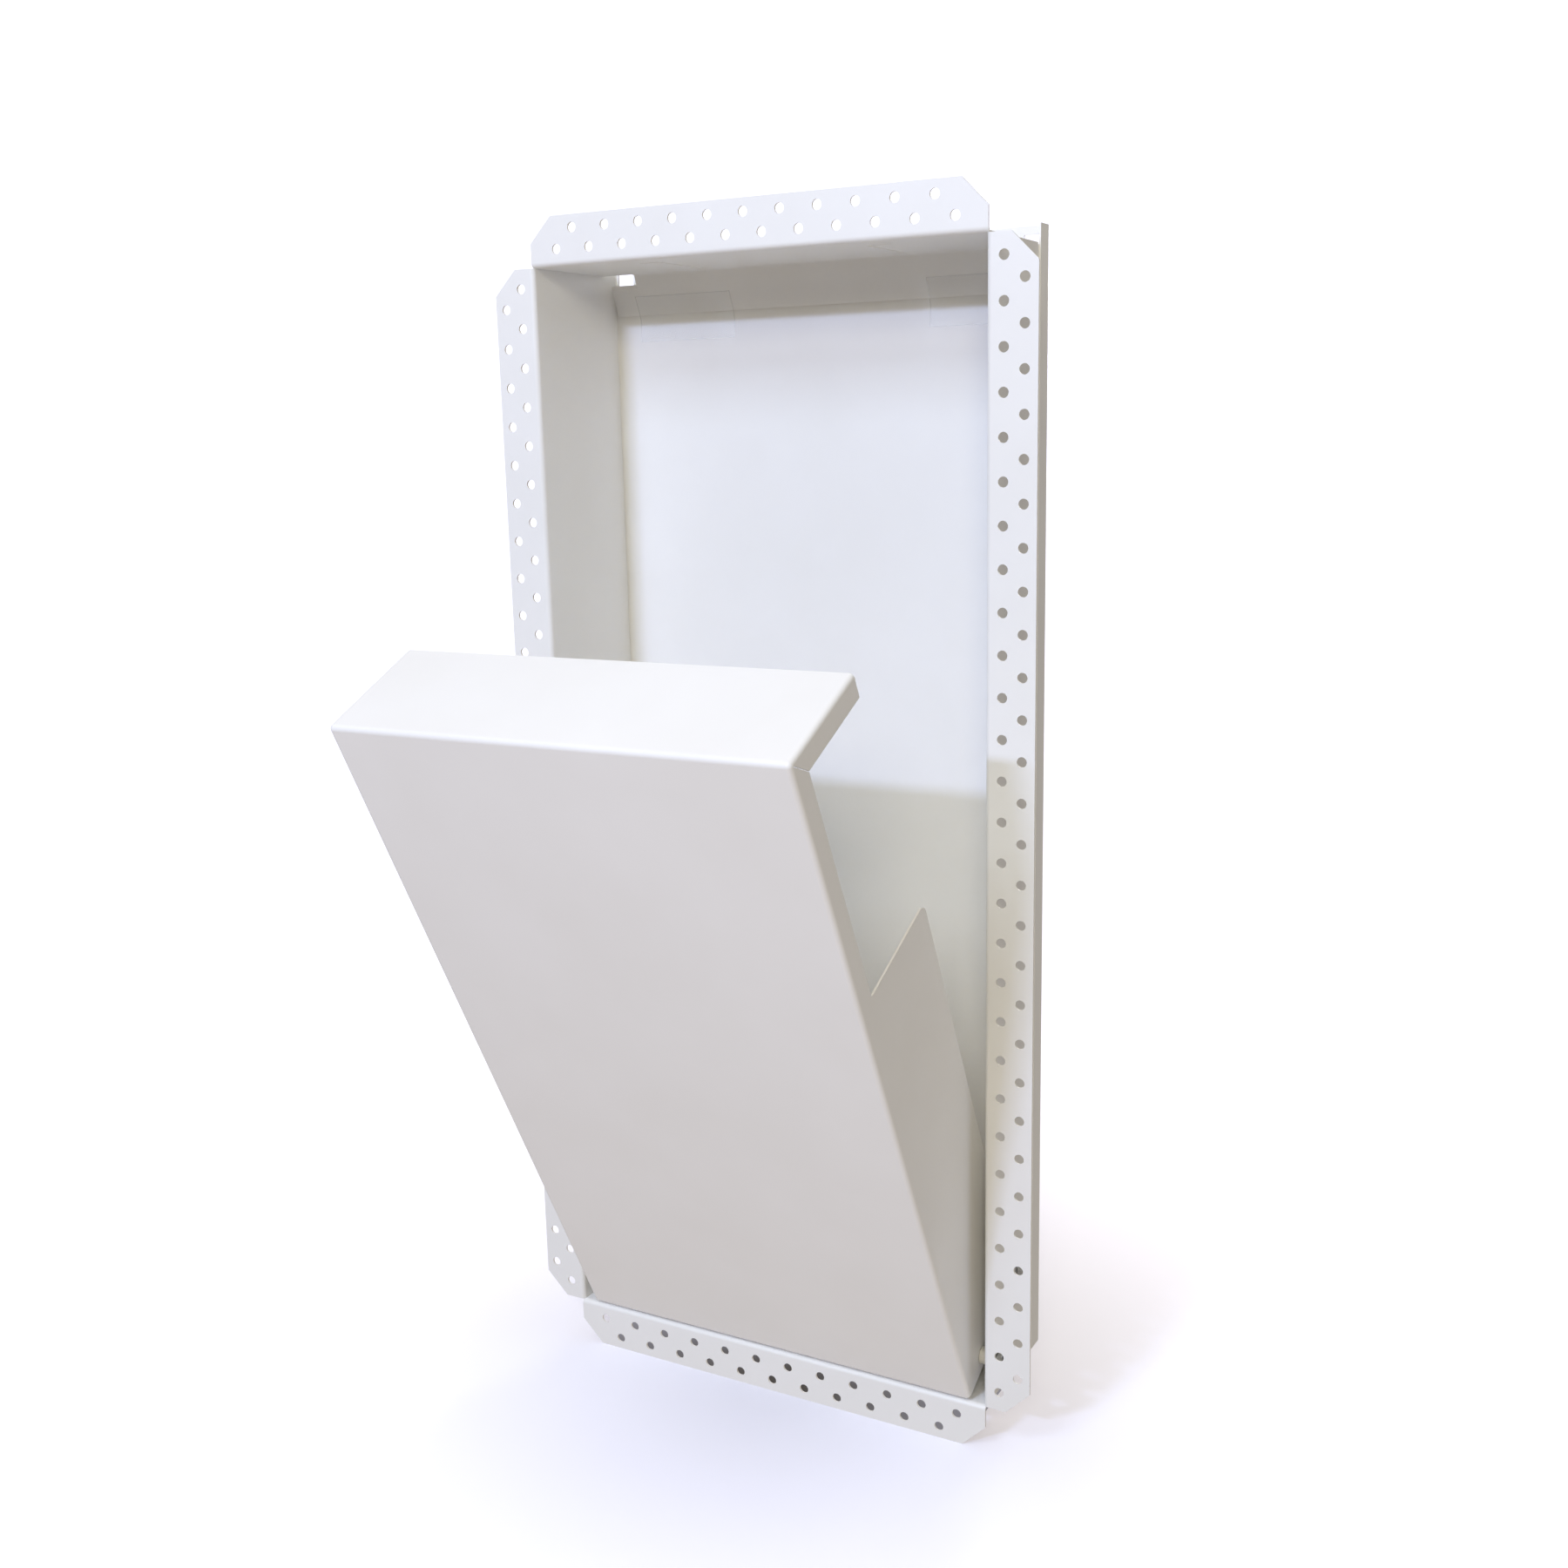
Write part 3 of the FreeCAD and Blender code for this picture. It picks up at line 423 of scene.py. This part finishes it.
class NICHE_OT_film_patches(bpy.types.Operator):
    """Clear film patches that bridge the foot of the sloping return and the back panel"""

    bl_idname = "niche.film_patches"
    bl_label = "Film patches"

    SLOPE = math.radians(24)
    ON_SLOPE = 10 * MM
    FOOT_AHEAD = 0.92 * MM
    FOLD = 1.5 * MM
    LENGTH = 25 * MM
    RIM = 0.6 * MM
    COLUMNS = 96
    ROWS = 48
    SMOOTHED_ROWS = 6
    # Each crease's middle and half-width as shares of the film's width, its lean, and its share of the
    # full height.
    CREASES = ((0.18, 0.016, 0.10, 1.0), (0.47, 0.012, -0.14, 0.7), (0.74, 0.020, 0.07, 0.9))
    # Where down the film its low cross ridge lies and how wide it is, as shares of the film's length,
    # then its mean height, its swing and its swings' rate across the film.
    RIDGE, RIDGE_WIDTH = 0.44, 0.05
    RIDGE_MEAN, RIDGE_SWING, RIDGE_RATE = 0.6, 0.4, 21
    RIDGE_SHARE = 0.5
    # The curl starts past the line CURL_LEAN * across + down = CURL_START and is full past the corner.
    CURL_LEAN, CURL_START, CURL_REACH = 0.8, 1.42, 0.38

    def profile(self, node):
        """Film's line in Y and Z from its top edge to its lower edge, and the outward normals.

        The line down the slope and on down the panel is sampled evenly along its length, then
        each point is the average of its neighbours over about 7 mm, which rounds the fold.
        """
        low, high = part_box(node)
        foot_z = high.z - self.ON_SLOPE
        foot_y = high.y - self.FOOT_AHEAD
        corners = np.array([
            (foot_y - self.ON_SLOPE * math.tan(self.SLOPE), high.z),
            (foot_y, foot_z),
            (high.y, foot_z - self.FOLD),
            (high.y, low.z),
        ])
        steps = np.linalg.norm(np.diff(corners, axis=0), axis=1)
        lengths = np.concatenate(([0], np.cumsum(steps)))
        margin = self.SMOOTHED_ROWS
        spacing = lengths[-1] / (self.ROWS - 1)
        at = np.linspace(-margin * spacing, lengths[-1] + margin * spacing, self.ROWS + 2 * margin)
        ends = np.array([corners[0] - (corners[1] - corners[0]), corners[-1] + (0, -margin * spacing)])
        knots = np.vstack((ends[:1], corners, ends[1:]))
        knot_lengths = np.concatenate(([-steps[0]], lengths, [lengths[-1] + margin * spacing]))
        line = np.stack([np.interp(at, knot_lengths, knots[:, i]) for i in (0, 1)], axis=1)
        window = np.ones(2 * margin + 1) / (2 * margin + 1)
        line = np.stack([np.convolve(line[:, i], window, mode="valid") for i in (0, 1)], axis=1)
        direction = np.gradient(line, axis=0)
        direction /= np.linalg.norm(direction, axis=1, keepdims=True)
        return line, np.stack((direction[:, 1], -direction[:, 0]), axis=1)

    def height(self, across, down, film, lifted):
        """Height over the sheet: a clearance, long low creases, a cross ridge and one curled corner.

        A crease is a Gaussian bump about a slanting line, faded towards its ends. The cross ridge is
        one about a level line, at half the height, that swells and sinks by a sine along it. The curl
        is the square of how far a point is past a line cut across the corner.
        """
        height = np.full(across.shape, film.clearance)
        for middle, width, lean, share in self.CREASES:
            off = across - middle - lean * (down - 0.5)
            height += film.crease * share * np.exp(-(off / width) ** 2) * np.sin(np.pi * down) ** 2
        swell = self.RIDGE_MEAN + self.RIDGE_SWING * np.sin(self.RIDGE_RATE * across)
        ridge = np.exp(-((down - self.RIDGE) / self.RIDGE_WIDTH) ** 2) * swell
        height += self.RIDGE_SHARE * film.crease * ridge
        corner = across if lifted == "right" else 1 - across
        past = np.clip(corner * self.CURL_LEAN + down - self.CURL_START, 0, None) / self.CURL_REACH
        return height + film.corner_lift * past ** 2

    def execute(self, context):
        film = context.scene.niche_film
        material = clear_film("clear_polyester_film", context.scene.niche_finishes.film)
        across, down = np.meshgrid(np.linspace(0, 1, self.COLUMNS), np.linspace(0, 1, self.ROWS))
        for node, lifted in (("left_film_patch", "right"), ("right_film_patch", "left")):
            low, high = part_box(node)
            line, normal = self.profile(node)
            height = self.height(across, down, film, lifted)
            points = np.empty(across.shape + (3,))
            points[..., 0] = low.x + across * (high.x - low.x)
            points[..., 1:] = line[:, None, :] + height[..., None] * normal[:, None, :]
            patch = piece_from(f"{node}_creased", points.reshape(-1, 3),
                               grid_faces(self.ROWS, self.COLUMNS), material, smooth_below=60)
            width, length = high.x - low.x, self.LENGTH
            to_rim = np.minimum(np.minimum(across, 1 - across) * width, np.minimum(down, 1 - down) * length)
            rim = patch.data.attributes.new("rim", "FLOAT", "POINT")
            rim.data.foreach_set("value", np.clip(1 - to_rim / self.RIM, 0, 1).ravel())
            solid = patch.modifiers.new("film thickness", "SOLIDIFY")
            solid.thickness = film.thickness
            solid.offset = 0
            patch.visible_shadow = False
            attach(patch, "housing")
            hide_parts(node)
        return {"FINISHED"}


class NICHE_OT_screws(bpy.types.Operator):
    """Pivot and stop screws with hexagon sockets and cut threads"""

    bl_idname = "niche.screws"
    bl_label = "Threaded screws"

    COLUMNS = 48
    HEAD_RADIUS = 4.5 * MM
    SOCKET_CHAMFER = 0.12 * MM
    SOCKET_LIP = 0.2 * MM
    HEAD_CHAMFER = 0.1 * MM
    SHOULDER_CHAMFER = 0.15 * MM
    SOCKET_MIDDLE = 0.05 * MM
    RIM_STEPS = 6
    THREAD_START = 0.2 * MM
    THREAD_END = 0.02 * MM
    END_SHARE = 0.1
    STATIONS_PER_TURN = 12
    # The thread's triangle wave is stretched and clipped, so a tenth of it is flat at crest and root.
    WAVE_STRETCH, WAVE_DROP = 1.25, 0.125

    def stations(self, screws, length, shoulder_end):
        """Distance from the head's face, plain radius, hexagon mark and thread mark of each ring.

        The hexagon mark is 1 in the socket. The thread mark is 0 off the thread and 1 on its regular
        turns, and rises to 2 where it runs out.
        """
        head = self.HEAD_RADIUS
        bend = screws.edge_round
        turn = np.linspace(0, np.pi / 2, self.RIM_STEPS)
        rim = [(bend * (1 - math.cos(a)), head - bend * (1 - math.sin(a)), 0, 0) for a in turn]
        socket = screws.socket_flats / 2
        rings = [(screws.socket_depth, self.SOCKET_MIDDLE, 1, 0), (screws.socket_depth, socket, 1, 0),
                 (self.SOCKET_CHAMFER, socket, 1, 0), (0, socket + self.SOCKET_LIP, 0, 0), *rim,
                 (screws.head_height - self.HEAD_CHAMFER, head, 0, 0),
                 (screws.head_height, head - self.HEAD_CHAMFER, 0, 0)]
        crest = screws.thread / 2
        start = screws.head_height
        if shoulder_end:
            shoulder = screws.shoulder / 2
            rings += [(start, shoulder, 0, 0), (shoulder_end - self.SHOULDER_CHAMFER, shoulder, 0, 0),
                      (shoulder_end, shoulder - self.SHOULDER_CHAMFER, 0, 0)]
            start = shoulder_end
        rings += [(start, crest - screws.thread_depth, 0, 0)]
        along = np.arange(start + self.THREAD_START, length - self.THREAD_END,
                          screws.pitch / self.STATIONS_PER_TURN)
        to_end = np.minimum((along - start) / screws.pitch,
                            (length - along) / screws.pitch + self.END_SHARE)
        thread = np.stack([along, np.full(along.shape, crest), np.zeros(along.shape),
                           2 - np.clip(to_end, 0, 1)], axis=1)
        return np.vstack([rings, thread, [(length, crest - screws.thread_depth, 0, 0)]])

    def radii(self, rings, screws):
        """Radius of every ring at every angle.

        Hexagon rings take the hexagon's radius. Thread rings are cut by a groove: the radius drops by
        the thread's depth times a triangle wave of (distance over pitch less the share of a turn),
        and drops to the root where the thread runs out.
        """
        columns = self.COLUMNS
        radii = np.repeat(rings[:, 1:2], columns, axis=1)
        six_sided = rings[:, 2] > 0
        radii[six_sided] = hexagon_radii(2, columns) * rings[six_sided, 1:2]
        turn = np.linspace(0, 1, columns, endpoint=False)
        wave = np.abs(2 * ((rings[:, 0:1] / screws.pitch - turn) % 1) - 1)
        flattened = np.clip(self.WAVE_STRETCH * wave - self.WAVE_DROP, 0, 1)
        run_out = np.clip(rings[:, 3:4] - 1, 0, 1)
        cut = np.where(rings[:, 3:4] > 0, np.maximum(flattened, run_out), 0)
        return radii - screws.thread_depth * cut

    def execute(self, context):
        screws = context.scene.niche_screws
        material = zinc_plate("zinc_plated_steel_screws", context.scene.niche_finishes.zinc)
        wall_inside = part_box("right_side_profile")[0].x
        for side, hand in ((1, "right"), (-1, "left")):
            for kind in ("pivot", "stop"):
                node = f"{hand}_{kind}_screw"
                low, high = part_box(node)
                near, far = (low.x, high.x) if side > 0 else (-high.x, -low.x)
                rings = self.stations(screws, far - near, wall_inside - near if kind == "pivot" else 0)
                radii = self.radii(rings, screws)
                points = turned_points(near + rings[:, 0], radii, axis_of(node), side)
                count = len(points)
                ends = [(side * (near + screws.socket_depth), *axis_of(node)), (side * far, *axis_of(node))]
                column = np.arange(self.COLUMNS)
                after = (column + 1) % self.COLUMNS
                last = count - self.COLUMNS
                start_fan = np.stack((np.full(self.COLUMNS, count), after, column), axis=1)
                end_fan = np.stack((np.full(self.COLUMNS, count + 1), last + column, last + after), axis=1)
                faces = grid_faces(len(rings), self.COLUMNS, wrap_columns=True).tolist()
                screw = piece_from(f"{node}_threaded", np.vstack((points, ends)),
                                   faces + start_fan.tolist() + end_fan.tolist(), material)
                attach(screw, "housing")
                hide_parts(node)
        return {"FINISHED"}


class NICHE_OT_nuts(bpy.types.Operator):
    """Chamfered hexagon nuts outside the side walls"""

    bl_idname = "niche.nuts"
    bl_label = "Chamfered nuts"

    COLUMNS = 72
    CHAMFER = math.radians(30)
    CHAMFER_DEPTH = 0.4 * MM
    CHAMFER_STEPS = 6
    FACE_SHARE = 0.97
    COUNTERSINK = 0.3 * MM
    BORE_CLEARANCE = 0.02 * MM

    def section(self, screws):
        """Distance from the seat and radius round a nut's closed section, as rings by angles.

        Outside, the radius is the hexagon's or that of a cone that closes on each face, whichever is
        less. Inside it is the bore's, opened to a countersink at each face.
        """
        thick = screws.nut_thickness
        rise = np.linspace(0, self.CHAMFER_DEPTH, self.CHAMFER_STEPS)
        along = np.concatenate((rise, thick - rise[::-1]))
        from_face = np.minimum(along, thick - along)
        cone = self.FACE_SHARE * screws.nut_flats / 2 + from_face / math.tan(self.CHAMFER)
        outside = np.minimum(hexagon_radii(screws.nut_flats, self.COLUMNS), cone[:, None])
        bore = screws.thread / 2 + self.BORE_CLEARANCE
        sink = self.COUNTERSINK
        inner = np.array([(thick, bore + sink), (thick - sink, bore), (sink, bore), (0, bore + sink)])
        inside = np.repeat(inner[:, 1:2], self.COLUMNS, axis=1)
        return np.concatenate((along, inner[:, 0])), np.vstack((outside, inside))

    def execute(self, context):
        screws = context.scene.niche_screws
        material = zinc_plate("zinc_plated_steel_nuts", context.scene.niche_finishes.zinc)
        along, radii = self.section(screws)
        one = grid_faces(len(along), self.COLUMNS, wrap_rows=True, wrap_columns=True)
        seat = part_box("screw_nuts")[1].x - screws.nut_thickness
        points, faces = [], []
        for side, hand in ((1, "right"), (-1, "left")):
            for kind in ("pivot", "stop"):
                faces.append(one + len(points) * radii.size)
                points.append(turned_points(seat + along, radii, axis_of(f"{hand}_{kind}_screw"), side))
        nuts = piece_from("screw_nuts_chamfered", np.vstack(points), np.vstack(faces).tolist(), material)
        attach(nuts, "housing")
        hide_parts("screw_nuts")
        return {"FINISHED"}


class NICHE_OT_stage(bpy.types.Operator):
    """Pale sweep, soft studio light and the camera"""

    bl_idname = "niche.stage"
    bl_label = "Stage"

    HALF_SPAN = 4.0
    FRONT = -4.0
    HEIGHT = 3.0
    COVE_STEPS = 33
    PAPER_CLOUD = 0.4
    PAPER_DARKEST = 0.99
    LIGHT_DISTANCE = 2.5
    # Name of each light, its bearing from straight in front towards the right, and its height, in degrees.
    LIGHTS = (("front", -8, 25.5), ("upper", -8, 45), ("warm", 25, 25), ("side", 90, 15),
              ("back", 180, 15))

    def paper(self, stage, floor):
        """White paper with painted light: it glows more with distance from the niche's foot, and it is clear
        from behind.

        Its floor has painted shade: a darker colour in the gap under the niche that stands in for the
        shade there, for the lower flange's holes to look onto.
        """
        material, tree, place = new_material("white_paper_sweep")
        # Painted light: the sweep's glow grows with distance from the niche's foot, so painted shade lies
        # near the foot.
        from_foot = add_node(tree, "ShaderNodeVectorMath", settings={"operation": "DISTANCE"},
                             values={1: (0, 0, floor)}, links={0: place})
        share = add_node(tree, "ShaderNodeMapRange",
                         values={"From Min": stage.glow_start, "From Max": stage.glow_end},
                         links={"Value": from_foot.outputs["Value"]})
        glow = add_node(tree, "ShaderNodeMix", settings={"data_type": "RGBA"},
                        links={0: share.outputs["Result"]})
        glow.inputs[6].default_value = (*stage.near_painted_glow, 1)
        glow.inputs[7].default_value = (*stage.far_painted_glow, 1)
        lie = add_node(tree, "ShaderNodeSeparateXYZ", links={"Vector": place})
        # Painted shade: inside a box under the niche the floor takes the darker colour in place of the shade
        # there.
        half_width, half_depth = stage.painted_shade_width / 2, stage.painted_shade_depth / 2
        across = add_node(tree, "ShaderNodeMath", settings={"operation": "COMPARE"},
                          values={1: 0, 2: half_width}, links={0: lie.outputs["X"]})
        deep = add_node(tree, "ShaderNodeMath", settings={"operation": "COMPARE"},
                        values={1: half_depth, 2: half_depth}, links={0: lie.outputs["Y"]})
        under = add_node(tree, "ShaderNodeMath", settings={"operation": "MULTIPLY"},
                         links={0: across.outputs["Value"], 1: deep.outputs["Value"]})
        white = shades(tree, noise(tree, place, self.PAPER_CLOUD), stage.sweep, self.PAPER_DARKEST)
        cover = add_node(tree, "ShaderNodeMix", settings={"data_type": "RGBA"},
                         links={0: under.outputs["Value"], 6: white})
        cover.inputs[7].default_value = (*stage.under_niche_painted_shade, 1)
        paper = add_node(tree, "ShaderNodeBsdfPrincipled",
                         values={"IOR": 1.45, "Roughness": 0.85, "Specular IOR Level": 0.2,
                                 "Emission Strength": 1},
                         links={"Base Color": cover.outputs[2], "Emission Color": glow.outputs[2]})
        clear = add_node(tree, "ShaderNodeBsdfTransparent")
        behind = add_node(tree, "ShaderNodeNewGeometry").outputs["Backfacing"]
        one_sided = add_node(tree, "ShaderNodeMixShader",
                             links={0: behind, 1: paper.outputs["BSDF"], 2: clear.outputs["BSDF"]})
        add_node(tree, "ShaderNodeOutputMaterial", links={"Surface": one_sided.outputs["Shader"]})
        return material

    def sweep(self, stage):
        """Floor, quarter-round cove and upright, as one line carried along X.

        On the cove, the point at angle a is the cove's centre plus its radius times (sin a, -cos a).
        """
        floor = CAD_BOX[0].z
        angle = np.linspace(0, np.pi / 2, self.COVE_STEPS)
        centre = (stage.wall_distance - stage.cove, floor + stage.cove)
        line = np.vstack(([(self.FRONT, floor)],
                          np.stack((centre[0] + stage.cove * np.sin(angle),
                                    centre[1] - stage.cove * np.cos(angle)), axis=1),
                          [(stage.wall_distance, floor + self.HEIGHT)]))
        points = np.empty((len(line), 2, 3))
        points[..., 0] = (-self.HALF_SPAN, self.HALF_SPAN)
        points[..., 1:] = line[:, None, :]
        sweep = piece_from("sweep", points.reshape(-1, 3), grid_faces(len(line), 2),
                           self.paper(stage, floor))
        sweep.visible_diffuse = False
        sweep.visible_glossy = False
        sweep.visible_shadow = False

    def lights(self, stage):
        """Lights in front, on the right and behind, and a room dark at eye level, warm above and below.

        The room's light depends only on the height of its direction. Past the sweep it looks white.
        """
        for name, bearing, height in self.LIGHTS:
            data = bpy.data.lights.new(name, "AREA")
            data.shape = "RECTANGLE"
            data.size = stage.front_width if name == "front" else stage.light_size
            data.size_y = stage.front_height if name == "front" else stage.light_size
            data.energy = getattr(stage, f"{name}_power")
            data.color = getattr(stage, f"{name}_colour")
            light = bpy.data.objects.new(f"{name}_light", data)
            bearing, height = math.radians(bearing), math.radians(height)
            direction = Vector((math.sin(bearing) * math.cos(height),
                                -math.cos(bearing) * math.cos(height), math.sin(height)))
            light.location = direction * self.LIGHT_DISTANCE
            light.rotation_euler = direction.to_track_quat("Z", "Y").to_euler()
            bpy.context.scene.collection.objects.link(light)

        world = bpy.data.worlds.new("room")
        world.use_nodes = True
        tree = world.node_tree
        tree.nodes.clear()
        direction = add_node(tree, "ShaderNodeTexCoord").outputs["Generated"]
        height = add_node(tree, "ShaderNodeSeparateXYZ", links={"Vector": direction}).outputs["Z"]
        share = add_node(tree, "ShaderNodeMapRange", values={"From Min": -1}, links={"Value": height})
        room = add_node(tree, "ShaderNodeValToRGB", links={"Fac": share.outputs["Result"]})
        ramp = room.color_ramp.elements
        ramp.new(0.5)
        for stop, colour in zip(ramp, (stage.ground_colour, stage.room_colour, stage.ceiling_colour)):
            stop.color = (*colour, 1)
        light = add_node(tree, "ShaderNodeBackground", links={"Color": room.outputs["Color"]})
        white = add_node(tree, "ShaderNodeBackground", values={"Color": (1, 1, 1, 1)})
        seen = add_node(tree, "ShaderNodeLightPath").outputs["Is Camera Ray"]
        both = add_node(tree, "ShaderNodeMixShader", links={
            0: seen, 1: light.outputs["Background"], 2: white.outputs["Background"]})
        add_node(tree, "ShaderNodeOutputWorld", links={"Surface": both.outputs["Shader"]})
        bpy.context.scene.world = world

    def camera(self, stage):
        """Camera at its place, facing its target, rolled about its line of sight."""
        data = bpy.data.cameras.new("camera")
        data.sensor_width = 36
        data.lens = stage.lens
        data.clip_start = 0.01
        camera = bpy.data.objects.new("camera", data)
        back = (Vector(stage.camera_place) - Vector(stage.camera_target)).normalized()
        level = Vector((0, 0, 1)).cross(back).normalized()
        right = math.cos(stage.camera_roll) * level + math.sin(stage.camera_roll) * back.cross(level)
        axes = Matrix((right, back.cross(right), back)).transposed().to_4x4()
        camera.matrix_world = Matrix.Translation(stage.camera_place) @ axes
        bpy.context.scene.collection.objects.link(camera)
        bpy.context.scene.camera = camera

    def execute(self, context):
        stage = context.scene.niche_stage
        self.sweep(stage)
        self.lights(stage)
        self.camera(stage)
        context.scene.view_settings.view_transform = "Standard"
        return {"FINISHED"}


class NICHE_PT_build(bpy.types.Panel):
    """Lists the steps that finish the niche, and its sizes and colours"""

    bl_label = "Tilt-out wall niche"
    bl_space_type = "VIEW_3D"
    bl_region_type = "UI"
    bl_category = "Niche"

    def draw(self, context):
        layout = self.layout
        for operator in STEPS:
            layout.operator(operator.bl_idname)
        for group, attribute in GROUPS:
            box = layout.box()
            for name in group.__annotations__:
                box.prop(getattr(context.scene, attribute), name)


STEPS = (NICHE_OT_coat_sheets, NICHE_OT_small_parts, NICHE_OT_film_patches, NICHE_OT_screws,
         NICHE_OT_nuts, NICHE_OT_stage)
GROUPS = ((NicheFinishes, "niche_finishes"), (NicheFilm, "niche_film"), (NicheScrews, "niche_screws"),
          (NicheStage, "niche_stage"))


def register():
    for group, attribute in GROUPS:
        bpy.utils.register_class(group)
        setattr(bpy.types.Scene, attribute, PointerProperty(type=group))
    for cls in (*STEPS, NICHE_PT_build):
        bpy.utils.register_class(cls)


def unregister():
    for cls in (NICHE_PT_build, *reversed(STEPS)):
        bpy.utils.unregister_class(cls)
    for group, attribute in reversed(GROUPS):
        delattr(bpy.types.Scene, attribute)
        bpy.utils.unregister_class(group)


def main():
    register()
    bpy.ops.niche.coat_sheets()
    bpy.ops.niche.small_parts()
    bpy.ops.niche.film_patches()
    bpy.ops.niche.screws()
    bpy.ops.niche.nuts()
    bpy.ops.niche.stage()


if __name__ == "__main__":
    main()
